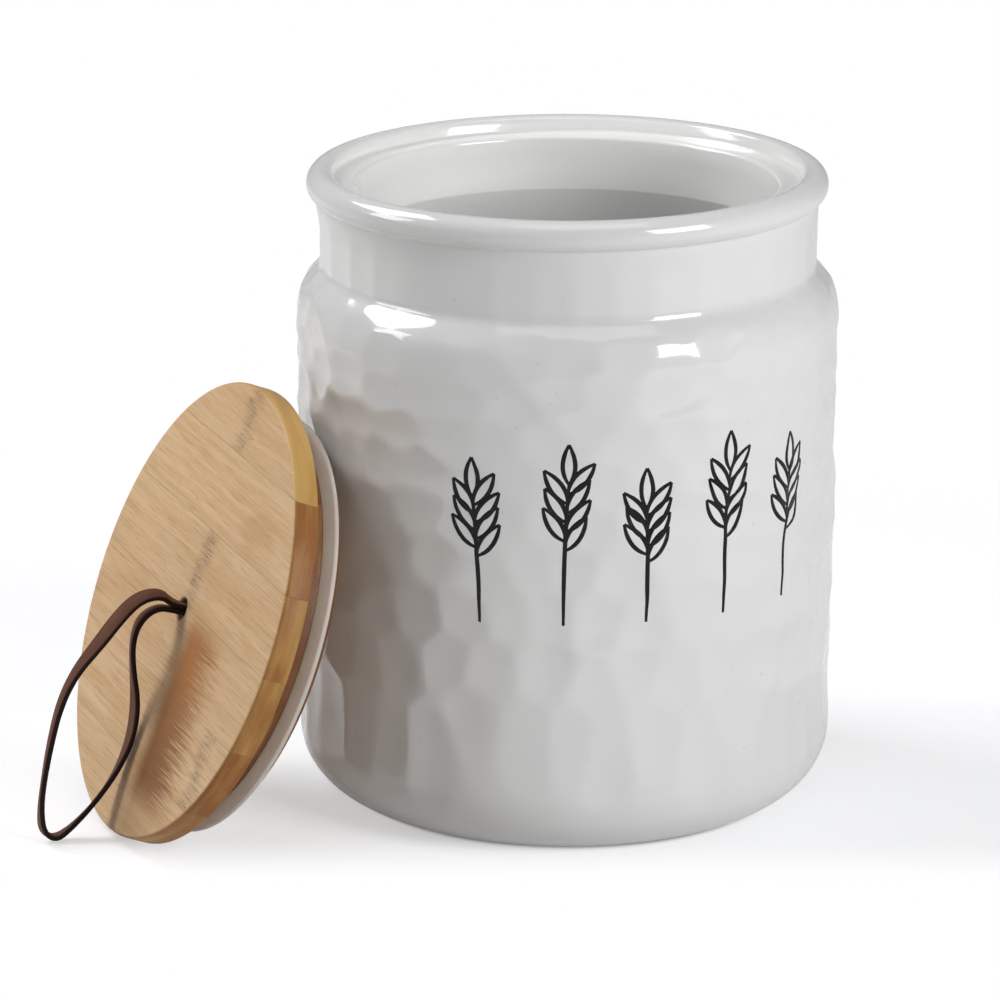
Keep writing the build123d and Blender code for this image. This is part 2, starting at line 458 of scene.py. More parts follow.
def dress(material, colour, roughness, height, depth):
    """Link a material's colour and roughness, and raise its surface by height times depth."""
    tree = material.node_tree
    shader = tree.nodes["Principled BSDF"]
    relief = first(tree, "ShaderNodeBump", {"Height": height, "Distance": depth})
    tree.links.new(colour, shader.inputs["Base Color"])
    tree.links.new(roughness, shader.inputs["Roughness"])
    tree.links.new(relief, shader.inputs["Normal"])
    print(f"{material.name}: {len(tree.nodes)} nodes")


def own_place(tree):
    """Where a point lies on the piece, in metres."""
    return add(tree, "ShaderNodeTexCoord").outputs["Object"]


# %% [markdown]
# ### White glaze
#
# The jar is stoneware under a glossy white glaze. A thin clear coat gives the crisp windows of
# light, while the body below stays a little soft. Clouds of slightly warmer and cooler white,
# a fine orange peel and a few pinholes keep it from looking like plastic. Inside, the glaze is
# painted whiter: painted light that brightens the inside of the jar, up to the recess in its
# rim. The ring that the jar stands on is wiped clean before firing, so it shows the bare, matt
# clay.

# %% Make the white glaze
bare_clay_height = 0.7 * MM

white_glaze, tree = new_material(
    "white_glaze", Coat_Weight=0.5, Coat_Roughness=0.03, IOR=1.5
)
place = own_place(tree)
clouds = noise(place, 14, detail=3)
white = mix(clouds, (0.735, 0.735, 0.73, 1), (0.77, 0.775, 0.775, 1))
pinhole = spread(noise(place, 520, detail=0), 0.83, 0.86)
white = mix(times(pinhole, 0.25), white, (0.50, 0.47, 0.43, 1))
height = parts_of(place)["Z"]
radius = length_of(flattened(place))
in_wall = body_radius - 4 * MM
in_neck = neck_radius - 3.3 * MM
above_foot = spread(height, 0.0, lower_rounding, in_wall - 18 * MM, in_wall)
shoulder = spread(height, shoulder_level, shoulder_level + 10 * MM, in_wall, in_neck)
half_wall = sum_of("MINIMUM", above_foot, shoulder)
# painted light: inside the wall the glaze is painted whiter, to brighten the inside of the jar
painted_inside_light = spread(minus(radius, half_wall), -1 * MM, 0.0, 1.0, 0.0)
white = mix(painted_inside_light, white, (0.90, 0.90, 0.89, 1))
bare = spread(height, bare_clay_height, 0.0)
clay_grain = noise(place, 900, detail=4)
clay = mix(clay_grain, (0.46, 0.38, 0.29, 1), (0.66, 0.58, 0.47, 1))
glaze_roughness = spread(noise(place, 60, detail=2), 0.3, 0.7, 0.10, 0.16)
roughness = sum_of("MAXIMUM", glaze_roughness, times(bare, 0.85))
peel = noise(place, 260, detail=1)
relief = plus(minus(peel, times(pinhole, 0.8)), times(bare, clay_grain))
dress(white_glaze, mix(bare, white, clay), roughness, relief, 0.03 * MM)

# %% [markdown]
# ### Black glaze
#
# The ornament is drawn with black glaze before the last firing. It melts flush with the white,
# has the same gloss, and thins a little at random.

# %% Make the black glaze
black_glaze, tree = new_material(
    "black_glaze", Coat_Weight=0.1, Coat_Roughness=0.04, Specular_IOR_Level=0.2
)
place = own_place(tree)
thinning = spread(noise(place, 500, detail=3), 0.55, 0.8)
ink = mix(thinning, (0.004, 0.004, 0.005, 1), (0.022, 0.021, 0.020, 1))
roughness = spread(thinning, 0, 1, 0.16, 0.32)
dress(black_glaze, ink, roughness, noise(place, 700, detail=2), 0.03 * MM)

# %% [markdown]
# ### Bamboo
#
# Bamboo is a bundle of fibres. Sawn along, it shows fine dark dashes on a honey ground; at the
# stalk's joints the dashes crowd into knuckles; sawn across, at the ends, the same fibres are
# dots, and the oil soaks in and darkens them. One pattern in three dimensions gives all of
# that, if it lies the way the strip lies: it is long in the strip's direction and fine in the
# other two. A Mapping node turns the pattern to the lid's slant, and each strip carries its
# own number, which shifts the pattern so that it breaks at every glue line. The strips differ
# most at their sawn ends, so each brings a number from 0 for golden to 1 for brown. A brown
# flame runs down the lid's face, to the side of the hole: partly the wood's own colour, partly
# painted shade of the thong, and darker low on the lid. A ring of painted shade darkens the
# face round the hole. The plug's bamboo is made browner throughout, with darker ends: painted
# shade for its side, which shows in the gap between the board and the ring.

# %% Helpers: long lumps of noise, and the flame beside the hole
def lumps(length, width):
    """How to stretch noise so that its lumps are that long and that wide."""
    return 1 / length, 1 / width, 1 / width


def flame_with_painted_shade(along, across, fibres, toast):
    """Where the flame is, ragged by the fibres, and its colour: partly the wood's own colour,
    partly painted shade of the thong, with painted shadow darker low on the lid.
    """
    fringe = plus(along, spread(fibres, 0.3, 0.7, -8 * MM, 8 * MM))
    # it fades out at the right, beside the hole, above it, and a little at the lower rim
    flame = times(
        spread(fringe, 23 * MM, 44 * MM, 1.0, 0.0),
        spread(along, 3 * MM, 15 * MM, 0.0, toast),
        spread(across, -6 * MM, 6 * MM, 1.0, 0.0),
        spread(across, -60 * MM, -48 * MM, 0.3, 1.0),
    )
    # the flame is darker low on the lid: painted shadow of the thong
    upper = spread(across, -45 * MM, -10 * MM)
    return flame, mix(upper, (0.25, 0.095, 0.02, 1), (0.38, 0.15, 0.035, 1))


# %% The bamboo of a disc, made when the disc is sawn
knuckle_width = 7 * MM


def bamboo(name, grain_turn, glue_line, strip_width, rim_radius, toast, tint, dark_end):
    """Oiled bamboo for strips at an angle on the lid; the flame and its painted shade come at a
    given strength, and a tint below white darkens the bamboo as painted shade.
    """
    material, tree = new_material(name, Specular_IOR_Level=0.28)
    turned = (lid_place @ Matrix.Rotation(grain_turn, 4, "Z")).to_euler()
    values = {"Vector": own_place(tree), "Location": lid_centre, "Rotation": turned}
    flat = first(tree, "ShaderNodeMapping", values, vector_type="TEXTURE")
    strip = attribute(tree, "strip")
    shift = times(strip, 0.137)
    apart = vector(tree, X=shift, Z=shift)
    own = vector_sum("ADD", flat, apart)
    along, across, _ = parts_of(flat)
    fibres = noise(own, 1.0, 2, roughness=0.6, stretch=lumps(16 * MM, 0.42 * MM))
    bands = noise(own, 1.0, 3, roughness=0.6, stretch=lumps(60 * MM, 3.2 * MM))
    dashes = noise(own, 1.0, 1, stretch=lumps(5 * MM, 0.30 * MM))
    warmth = noise(own, 1.0, 2, stretch=lumps(45 * MM, 22 * MM))
    wander = times(minus(bands, 0.5), 0.018)
    off_knuckle = plus(minus(along, attribute(tree, "knuckle")), wander)
    crowd = spread(sum_of("ABSOLUTE", off_knuckle), 1 * MM, knuckle_width, 1.0, 0.0)
    tone = sum_of("FRACT", times(strip, 0.618))
    pale = (0.76, 0.525, 0.305, 1)
    honey = mix(spread(bands, 0.3, 0.7), pale, (0.65, 0.415, 0.215, 1))
    honey = mix(spread(warmth, 0.50, 0.75, 0, 0.6), honey, (0.56, 0.32, 0.14, 1))
    honey = mix(times(tone, 0.22), honey, (0.59, 0.38, 0.20, 1))
    # the flame beside the hole is partly the wood's colour, partly painted shade of the thong
    flame, toasted = flame_with_painted_shade(along, across, fibres, toast)
    honey = mix(flame, honey, toasted)
    smudge = times(crowd, spread(fibres, 0.3, 0.7, 0.15, 0.5))
    honey = mix(smudge, honey, (0.37, 0.25, 0.155, 1))
    dark_fibre = spread(fibres, 0.50, 0.72, 0.0, 0.42)
    honey = mix(dark_fibre, honey, (0.36, 0.19, 0.08, 1))
    # painted shade: a tint below white darkens the whole bamboo; it is used on the plug
    honey = mix(1.0, honey, tint, "MULTIPLY")
    threshold = minus(0.70, times(crowd, 0.15))
    dash = spread(minus(dashes, threshold), 0.0, 0.08)
    honey = mix(times(dash, 0.5), honey, (0.20, 0.105, 0.05, 1))
    to_line = sum_of("PINGPONG", minus(across, glue_line), strip_width / 2)
    glue = spread(sum_of("ABSOLUTE", to_line), 0.10 * MM, 0.30 * MM, 1.0, 0.0)
    radius = length_of(vector(tree, X=along, Y=across))
    sawn = spread(radius, rim_radius - 0.9 * MM, rim_radius - 0.2 * MM)
    # painted shade: the face is darkened in a ring round the hole, where the thong shades it
    hole = spread(radius, 3.4 * MM, 4.4 * MM, 1.0, 0.0)
    ends = noise(own, 1.0, detail=3, stretch=(25, 40, 200))
    brown = plus(attribute(tree, "rim"), spread(ends, 0.3, 0.7, -0.3, 0.3))
    honey = mix(sawn, honey, mix(brown, (0.53, 0.32, 0.095, 1), dark_end))
    honey = mix(times(hole, 0.5), honey, (0.22, 0.11, 0.05, 1))
    honey = mix(times(glue, 0.22), honey, (0.22, 0.11, 0.045, 1))
    roughness = spread(fibres, 0.3, 0.7, 0.38, 0.55)
    grain = plus(fibres, times(dash, -0.8))
    dress(material, honey, roughness, minus(grain, glue), 0.06 * MM)
    return material


# %% [markdown]
# ### Silicone and leather
#
# The sealing ring is milky silicone: light goes a little way into it. The thong is brown
# leather, worn lighter in the middle of its face and burnished dark along the cut edges, with
# a grain of tiny pebbles and creases across the band. The leather reads numbers that the band
# carries along its length and across its width.

# %% Make the silicone and the leather
milky_silicone, tree = new_material(
    "milky_silicone", Subsurface_Weight=0.35, Subsurface_Scale=0.004, Specular_IOR_Level=0.35
)
place = own_place(tree)
haze = noise(place, 90, detail=3)
milk = mix(haze, (0.50, 0.46, 0.415, 1), (0.60, 0.565, 0.53, 1))
roughness = spread(haze, 0.3, 0.7, 0.42, 0.55)
dress(milky_silicone, milk, roughness, noise(place, 1500, detail=2), 0.02 * MM)

brown_leather, tree = new_material("brown_leather", Specular_IOR_Level=0.2)
across = attribute(tree, "across")
band = vector(tree, X=attribute(tree, "along"), Y=across)
pebbles = noise(band, 1800, detail=3, roughness=0.6)
creases = noise(band, 1.0, detail=2, stretch=(420, 90, 1))
patches = noise(band, 1.0, detail=2, stretch=(60, 200, 1))
edge_share = over(sum_of("ABSOLUTE", across), thong_width / 2)
burnished = spread(edge_share, 0.66, 0.94)
hide = mix(pebbles, (0.085, 0.030, 0.017, 1), (0.165, 0.062, 0.034, 1))
hide = mix(spread(patches, 0.4, 0.8, 0, 0.6), hide, (0.20, 0.090, 0.054, 1))
hide = mix(burnished, hide, (0.009, 0.003, 0.002, 1))
roughness = spread(pebbles, 0.3, 0.7, 0.55, 0.75)
dress(brown_leather, hide, roughness, plus(pebbles, times(creases, 0.8)), 0.12 * MM)

# %% [markdown]
# ## The jar
#
# The jar is thrown round one axis, so its whole shape is in one outline, from the middle of the
# foot, up the wall, over the rolled rim and down inside. The outline is drawn by its corners,
# each with the radius that rounds it; the rim is an arc of a small circle. Long runs are
# divided, because the hammer marks need points to push.

# %% Helpers: round the corners of an outline, divide its long runs
def rounded(corners, arc_step):
    """Points of an open outline; each corner is (radius from the axis, height, rounding)."""
    points = []
    places = [Vector(corner[:2]) for corner in corners]
    for index, (place, corner) in enumerate(zip(places, corners)):
        rounding = corner[2]
        if not rounding:
            points.append(place)
            continue
        back = (places[index - 1] - place).normalized()
        ahead = (places[index + 1] - place).normalized()
        half = back.angle(ahead) / 2
        centre = place + (back + ahead).normalized() * rounding / math.sin(half)
        start = place + back * rounding / math.tan(half) - centre
        end = place + ahead * rounding / math.tan(half) - centre
        bend = math.pi - 2 * half
        count = max(2, round(bend * rounding / arc_step))
        sign = math.copysign(1, start.cross(end))
        for step in range(count + 1):
            points.append(centre + Matrix.Rotation(sign * bend * step / count, 2) @ start)
    return points


def divided(points, longest):
    """The same outline with no run longer than that."""
    result = [points[0]]
    for start, end in zip(points, points[1:]):
        count = max(1, math.ceil((end - start).length / longest))
        result += [start.lerp(end, step / count) for step in range(1, count + 1)]
    return result


# %% Draw the foot and the wall
fine_step = 1.3 * MM
coarse_step = 6.0 * MM
rim_step = 0.9 * MM
foot_line = rounded(
    [
        (0, foot_recess, 0),
        (foot_inner - 1 * MM, foot_recess, 0),
        (foot_inner, foot_recess, 0.4 * MM),
        (foot_inner, 0, 0.6 * MM),
        (foot_outer - 1 * MM, 0, 0),
    ],
    0.4 * MM,
)
wall_line = rounded(
    [
        (foot_outer, 0, 0),
        (low_radius, 0, lower_rounding),
        (body_radius, shoulder_corner, shoulder_round),
        (neck_radius, neck_corner, shoulder_hollow),
        (neck_radius, bead_level - 5.2 * MM, 0),
    ],
    fine_step,
)
print(f"foot: {len(foot_line)} points, wall: {len(wall_line)} points")


# %% Draw the rim and the inside, and put the outline together
def rolled_rim():
    """The arc over the rim, from the top of the neck to the recess for the lid."""
    start = -math.acos((neck_radius - bead_centre) / bead_radius)
    end = math.acos((recess_radius - bead_centre) / bead_radius)
    count = round((end - start) * bead_radius / rim_step)
    for step in range(count + 1):
        angle = start + (end - start) * step / count
        radius = bead_centre + bead_radius * math.cos(angle)
        yield radius, bead_level + bead_radius * math.sin(angle), 0


rim = list(rolled_rim())
rim[0] = (*rim[0][:2], 0.8 * MM)
inside_line = rounded(
    [
        wall_line[-1][:] + (0,),
        *rim,
        (recess_radius, ledge_level, 0.8 * MM),
        (mouth_radius, ledge_level, 1.2 * MM),
        (mouth_radius, bore_bottom, 1.2 * MM),
        (inner_radius, undercut_bottom, 4.0 * MM),
        (inner_low_radius, floor_level, lower_rounding - 6.0 * MM),
        (0, floor_level, 0),
    ],
    0.6 * MM,
)
outline = divided(foot_line, coarse_step) + divided(wall_line, fine_step)
outline += divided(inside_line, coarse_step)[1:]
wall_rings = range(len(foot_line), len(outline) - len(divided(inside_line, coarse_step)))
print(f"outline: {len(outline)} points")

# %% [markdown]
# The wall looks as if a round-nosed hammer had worked over the wet clay: shallow bowls that
# meet in soft ridges, in slanting rows. Low down the strokes are long and upright, towards the
# shoulder they are short and round, and on the neck only upright facets are left. Where they
# go and how deep they are follows a rule, so Geometry Nodes make the jar. The tree turns the
# outline round the axis, then puts the middles of the bowls on an imagined wall, whose height
# is squeezed more and more towards the foot. There the rows are even, with a slant and some
# jitter from a fixed seed, and the bowls are round; on the real wall they come out long. The
# distance from a point to the nearest middle gives the bowl, and where two bowls meet, the
# ridge comes by itself. A slow wobble moves the wall in and out as well. The outline carries a
# number for how strong all this is.

# %% How strong the marks are along the outline
marks_begin = 2 * MM
marks_rise = 13 * MM
shoulder_fade = 22 * MM
top_fade = 5


def hammering(height):
    """Strength of the hammer marks on the outer wall at a height."""
    rising = min(1.0, max(0.0, (height - marks_begin) / marks_rise))
    fading = min(1.0, max(0.0, (neck_corner - height) / shoulder_fade))
    return rising * (0.7 + 0.3 * fading)


strengths = [0.0] * len(outline)
for index in wall_rings:
    strengths[index] = hammering(outline[index].y)
for back, index in enumerate(reversed(wall_rings)):
    strengths[index] *= min(1.0, back / top_fade)
jar_line = line_mesh("jar_line", [(p.x, 0, p.y) for p in outline], hammered=strengths)
print(f"hammered rings: {sum(strength > 0 for strength in strengths)} of {len(outline)}")

# %% [markdown]
# Turning the outline is a small tree of its own, because the lid's discs are turned as well. A
# flat grid has one row of points for each point of the outline; each of its points is sent to
# the outline's radius and height at its own angle. The seam and the poles are then merged.

# %% A tree that turns an outline round the axis
def turning_nodes(tree, line, sides, number):
    """Nodes that turn a line round the Z axis, carrying the number called that along."""
    size = add(tree, "GeometryNodeAttributeDomainSize", {"Geometry": line}, component="MESH")
    rings = size.outputs["Point Count"]
    last_ring = minus(rings, 1)
    values = {"Size X": last_ring, "Size Y": math.tau, "Vertices X": rings}
    values["Vertices Y"] = plus(sides, 1)
    grid = add(tree, "GeometryNodeMeshGrid", values).outputs["Mesh"]
    here = here_on(tree)
    row, angle, _ = parts_of(here)
    ring = sum_of("ROUND", plus(row, over(last_ring, 2)))
    values = {"Geometry": line, "Value": here, "Index": ring}
    point = first(tree, "GeometryNodeSampleIndex", values, data_type="FLOAT_VECTOR")
    radius, _, height = parts_of(point)
    values = {"Geometry": line, "Value": carried(tree, number), "Index": ring}
    grid = carry(grid, number, first(tree, "GeometryNodeSampleIndex", values))
    shell = moved(grid, round_axis(radius, angle, height))
    values = {"Geometry": shell, "Distance": 0.01 * MM}
    return first(tree, "GeometryNodeMergeByDistance", values)


# %% A tree that turns the jar and scatters the middles of the bowls
tree, given = new_tree(
    "hammered_jar",
    {int: "sides columns rows seed", float: "top squeeze reach slant depth jitter wall"},
)
shell = turning_nodes(tree, given["line"], given["sides"], "hammered")

# the middles of the bowls: a grid of points wrapped round the wall
values = {"Vertices X": given["rows"], "Vertices Y": given["columns"]}
marks = add(tree, "GeometryNodeMeshGrid", values).outputs["Mesh"]
index = first(tree, "GeometryNodeInputIndex")
row = sum_of("FLOOR", over(index, given["columns"]))
column = minus(index, times(row, given["columns"]))
shake = []
for axis in range(2):
    value = at_random(index, plus(given["seed"], axis), 0.5)
    shake.append(times(value, given["jitter"]))
place = plus(plus(column, times(row, given["slant"])), shake[0])
angle = over(times(place, math.tau), given["columns"])
level = over(plus(plus(row, 1), shake[1]), given["rows"])
marks = moved(marks, round_axis(given["wall"], angle, times(level, given["top"])))

# %% Press the bowls into the wall
# where each point of the jar lies on the imagined wall
here = here_on(tree)
outward = vector_sum("NORMALIZE", flattened(here))
level = over(sum_of("MINIMUM", parts_of(here)["Z"], given["top"]), given["top"])
level = sum_of("POWER", sum_of("MAXIMUM", level, 0), given["squeeze"])
lifted = vector(tree, Z=times(level, given["top"]))
imagined = vector_sum("ADD", scaled(outward, given["wall"]), lifted)

# the bowls: deepest in the middle, a ridge halfway to the next one
values = {0: marks, "Sample Position": imagined}
near = add(tree, "GeometryNodeProximity", values, target_element="POINTS").outputs["Distance"]
share = over(near, given["reach"])
bowl = sum_of("MAXIMUM", minus(1, sum_of("POWER", share, 2)), 0)
bowl = first(tree, "GeometryNodeBlurAttribute", {0: bowl, 1: 1}, data_type="FLOAT")
uneven = spread(noise(here, 22, detail=1), 0.3, 0.7, 0.45, 1.0)
wobble = spread(noise(here, 9, detail=1), 0.3, 0.7, -0.6, 0.4)
inward = times(plus(times(bowl, uneven), wobble), carried(tree, "hammered"), given["depth"])
values = {"Geometry": shell, "Offset": scaled(outward, times(inward, -1))}
shell = first(tree, "GeometryNodeSetPosition", values)
shell = first(tree, "GeometryNodeSetShadeSmooth", {"Geometry": shell})
end_tree(shell, given["material"])

# %% Make the jar
jar_shell = grow(
    "jar_shell",
    jar_line,
    tree,
    sides=320,
    columns=36,
    rows=10,
    top=neck_corner,
    squeeze=1.55,
    reach=11 * MM,
    slant=0.4,
    depth=1.5 * MM,
    jitter=0.6,
    wall=body_radius,
    seed=4,
    material=white_glaze,
)
wear(jar_shell, "jar", "glaze", "jar_body")

# %% [markdown]
# ## The lid
#
# The lid is two discs of bamboo strips glued edge to edge, a board that shows on top and a
# plug below it that goes down the mouth, with its strips crosswise so that the lid stays flat.
# Each disc is turned from its outline and then sawn: the tree keeps what lies between two saw
# cuts. The outline is a closed loop round the hole for the thong. Extra points close to each
# rounded edge keep the shading of the flat faces flat.

# %% A tree that turns a disc and saws one strip from it
sawing, given = new_tree("sawn_strip", {int: "sides", float: "low high strip knuckle rim"})
disc = turning_nodes(sawing, given["line"], given["sides"], "edge")
past_the_disc = 0.3
middle = over(plus(given["low"], given["high"]), 2)
width = minus(given["high"], given["low"])
size = vector(sawing, X=past_the_disc, Y=width, Z=past_the_disc)
cut = add(sawing, "GeometryNodeMeshCube", {"Size": size}).outputs["Mesh"]
values = {"Geometry": cut, "Translation": vector(sawing, Y=middle)}
cut = first(sawing, "GeometryNodeTransform", values)
both = add(sawing, "GeometryNodeMeshBoolean", operation="INTERSECT", solver="EXACT")
sawing.links.new(disc, both.inputs["Mesh 2"])
sawing.links.new(cut, both.inputs["Mesh 2"])
strip = both.outputs["Mesh"]
for label in ("strip", "knuckle", "rim"):
    strip = carry(strip, label, given[label])
end_tree(strip, given["material"])

# %% Sizes of the lid
lid_radius = recess_radius - 0.8 * MM
board_thickness = 7.8 * MM
plug_radius = mouth_radius - 2.7 * MM
plug_bottom = board_thickness + 12.8 * MM
groove_top = board_thickness + 6.6 * MM
groove_bottom = groove_top + 4.2 * MM
groove_radius = plug_radius - 3.5 * MM
hole_radius = 3.24 * MM
strip_width = 2 * plug_radius / 5
narrowest_strip = 6 * MM
board_joint = 1.5 * MM
board_turn = math.radians(-2)
plug_turn = math.radians(88)


def saw_cuts(radius, joint):
    """Where the saw goes through a disc, from its lowest glue line to its highest."""
    widest_line = radius - narrowest_strip
    line = joint - strip_width * int((widest_line + joint) / strip_width)
    cuts = [-2 * radius]
    while line < widest_line:
        cuts.append(line)
        line += strip_width
    return cuts + [2 * radius]


print("board cuts:", [round(cut / MM, 1) for cut in saw_cuts(lid_radius, board_joint)])


# %% Helpers: a closed section, a smooth piece with sharp edges
def section_line(name, corners, arc_step):
    """A closed line round a section, from its corners."""
    section = rounded(corners, arc_step)
    points = [(point.x, 0, point.y) for point in section + section[:1]]
    return line_mesh(name, points, edge=[0.0] * len(points))


def smooth(piece, sharp_angle):
    """Shade a piece smoothly but for the edges that bend more than that, in degrees."""
    piece.data.shade_smooth()
    piece.data.set_sharp_from_angle(angle=math.radians(sharp_angle))


# %% Helper: turn, saw and place the strips of one disc
def sawn_disc(disc, corners, radius, joint, grain_turn, knuckles, rims, **looks):
    """The strips of the board or the plug, from the corners of its section."""
    material = bamboo(f"{disc}_bamboo", grain_turn, joint, strip_width, radius, **looks)
    line = section_line(f"{disc}_strip", corners, 0.35 * MM)
    cuts = saw_cuts(radius, joint)
    for number, (low, high) in enumerate(zip(cuts, cuts[1:]), start=1):
        strip = grow(
            f"{disc}_strip_{number}",
            line,
            sawing,
            sides=180,
            low=low,
            high=high,
            strip=float(number),
            knuckle=knuckles[number - 1],
            rim=rims[number - 1],
            material=material,
        )
        strip.data.transform(lid_place @ Matrix.Rotation(grain_turn, 4, "Z"))
        smooth(strip, 30)
        wear(strip, "lid", f"bamboo_{disc}", f"lid_{disc}_strip_{number}")


# %% [markdown]
# The knuckles of the stalk are at a different place on every strip, as each was cut from
# another length of bamboo.

# %% Make the board
guard = 0.9 * MM
none_here = 200 * MM
board_knuckles = [none_here, 49 * MM, none_here, 3 * MM, none_here, -1 * MM]
board_rims = [0.6, 1.0, 0.55, 0.7, 0.95, 0.05]
sawn_disc(
    "board",
    [
        (hole_radius, -board_thickness, 0),
        (hole_radius, -0.35 * MM, 0),
        (hole_radius + 0.35 * MM, 0, 0),
        (hole_radius + guard, 0, 0),
        (lid_radius - 1.2 * MM - guard, 0, 0),
        (lid_radius, 0, 1.2 * MM),
        (lid_radius, -board_thickness, 0.8 * MM),
        (lid_radius - 0.8 * MM - guard, -board_thickness, 0),
    ],
    lid_radius,
    board_joint,
    board_turn,
    board_knuckles,
    board_rims,
    toast=1.0,
    tint=(1, 1, 1, 1),
    dark_end=(0.27, 0.10, 0.02, 1),
)

# %% Make the plug
plug_knuckles = [20 * MM, -33 * MM, 45 * MM, -8 * MM, none_here]
plug_rims = [0.9, 1.0, 0.8, 1.0, 0.9]
sawn_disc(
    "plug",
    [
        (hole_radius, -plug_bottom, 0),
        (hole_radius, -board_thickness, 0),
        (plug_radius, -board_thickness, 0),
        (plug_radius, -groove_top, 0),
        (groove_radius, -groove_top, 0),
        (groove_radius, -groove_bottom, 0),
        (plug_radius, -groove_bottom, 0),
        (plug_radius, -plug_bottom, 1.0 * MM),
        (plug_radius - 1.0 * MM - guard, -plug_bottom, 0),
    ],
    plug_radius,
    strip_width / 2,
    plug_turn,
    plug_knuckles,
    plug_rims,
    toast=0.0,
    # the plug's dark tint and darker sawn ends are painted shade, for its side in the gap between
    # the board and the ring
    tint=(0.52, 0.45, 0.39, 1),
    dark_end=(0.15, 0.055, 0.018, 1),
)

# %% [markdown]
# ### The sealing ring
#
# The ring sits in the plug's groove. A soft lip flares from it, away from the board, and
# presses on the mouth when the lid is pushed home. It is turned like the discs, from its
# section, but it isn't sawn.

# %% A tree that only turns, and the ring from it
turning, given = new_tree("turned", {int: "sides"})
end_tree(turning_nodes(turning, given["line"], given["sides"], "edge"), given["material"])

skin = 1.3 * MM
band_radius = plug_radius + 0.3 * MM
lip_radius = mouth_radius + 0.8 * MM
lip_bottom = groove_bottom - skin / 2
slot_top = groove_top + 2 * skin
ring_line = section_line(
    "ring_line",
    [
        (groove_radius, -groove_top, 0),
        (band_radius, -groove_top, 0.25 * MM),
        (lip_radius, -(lip_bottom - skin), skin / 2),
        (lip_radius, -lip_bottom, skin / 3),
        (lip_radius - skin, -lip_bottom, skin / 3),
        (band_radius + 0.6 * MM, -slot_top, 0.25 * MM),
        (band_radius, -slot_top, 0.15 * MM),
        (band_radius, -groove_bottom, 0.25 * MM),
        (groove_radius, -groove_bottom, 0),
    ],
    0.2 * MM,
)
seal_ring = grow("seal_ring", ring_line, turning, sides=200, material=milky_silicone)
seal_ring.data.transform(lid_place)
smooth(seal_ring, 50)
wear(seal_ring, "lid", "silicone", "lid_gasket")

# %% [markdown]
# ## The thong
#
# A band follows the smooth line. Geometry Nodes sweep a rounded rectangle along it, and each
# point of the line says which way the band's width lies: level, turned by the twist. The tree
# also writes how far along and how far across the band each point is, for the leather's
# pattern.

# %% A tree that sweeps a band along a line
sweeping, given = new_tree("leather_band", {float: "width thickness edge"})
curve = first(sweeping, "GeometryNodeMeshToCurve", {"Mesh": given["line"]})
values = {"Curve": curve, "Normal": carried(sweeping, "lie", "FLOAT_VECTOR")}
spine = first(sweeping, "GeometryNodeSetCurveNormal", values, mode="FREE")
along = add(sweeping, "GeometryNodeSplineParameter").outputs["Length"]
spine = carry(spine, "along", along)
values = {"Width": given["width"], "Height": given["thickness"]}
section = first(sweeping, "GeometryNodeCurvePrimitiveQuadrilateral", values)
values = {"Curve": section, "Count": 3, "Radius": given["edge"]}
section = first(sweeping, "GeometryNodeFilletCurve", values, mode="POLY")
section = carry(section, "across", parts_of(here_on(sweeping))["X"])
values = {"Curve": spine, "Profile Curve": section, "Fill Caps": True}
end_tree(first(sweeping, "GeometryNodeCurveToMesh", values), given["material"])


# %% Helper: a band of leather along some points
def leather_band(name, points, lies, width=thong_width, thickness=thong_thickness):
    """A band that follows points, its width lying the way given for each point."""
    piece = grow(
        name,
        line_mesh(name, points, lie=lies),
        sweeping,
        width=width,
        thickness=thickness,
        edge=0.45 * thickness,
        material=brown_leather,
    )
    smooth(piece, 50)
    return piece


# %% Make the loop
lies = []
for index, twist in enumerate(thong_twist):
    ahead = thong_line[min(index + 1, len(thong_line) - 1)]
    behind = thong_line[max(index - 1, 0)]
    tangent = (ahead - behind).normalized()
    lies.append(Matrix.Rotation(math.radians(twist.x), 3, tangent) @ lid_level)
thong_loop = leather_band("thong_loop", thong_line, lies)
wear(thong_loop, "strap", "leather", "strap_loop")

# %% [markdown]
# The thong's two tails go through the hole side by side and are tied together behind the plug.
# The knot is a real overhand knot pulled tight: its line is a trefoil, the curve that crosses
# itself three times.

# %% Make the tails and the knot
knot_gap = 0.3 * MM
knot_height = 7.0 * MM
knot_width = 1.55 * MM
knot_core = 1.35
knot_lobe = 0.72
knot_rise = 1.7 * MM
knot_band = (2.9 * MM, 1.9 * MM)
tail_length = plug_bottom + knot_gap
tail_steps = 12
for number, off in ((1, 0.9 * MM), (2, -0.9 * MM)):
    tail_line = [in_front(-tail_length * i / tail_steps, off) for i in range(tail_steps + 1)]
    tail = leather_band(f"thong_tail_{number}", tail_line, [lid_level] * len(tail_line))
    wear(tail, "strap", "leather", f"strap_tail_{number}")

knot_points = []
knot_lies = []
knot_turns = 72
for step in range(knot_turns):
    angle = math.tau * step / knot_turns
    reach = (knot_core + knot_lobe * math.cos(3 * angle)) * knot_width
    depth = -tail_length - knot_height / 2 - knot_rise * math.sin(3 * angle)
    east = reach * math.cos(2 * angle)
    north = reach * math.sin(2 * angle)
    knot_points.append(lid_place @ Vector((east, north, depth)))
    knot_lies.append(lid_normal.copy())
knot_points.append(knot_points[0].copy())
knot_lies.append(lid_normal.copy())
thong_knot = leather_band("thong_knot", knot_points, knot_lies, *knot_band)
wear(thong_knot, "strap", "leather", "strap_knot")

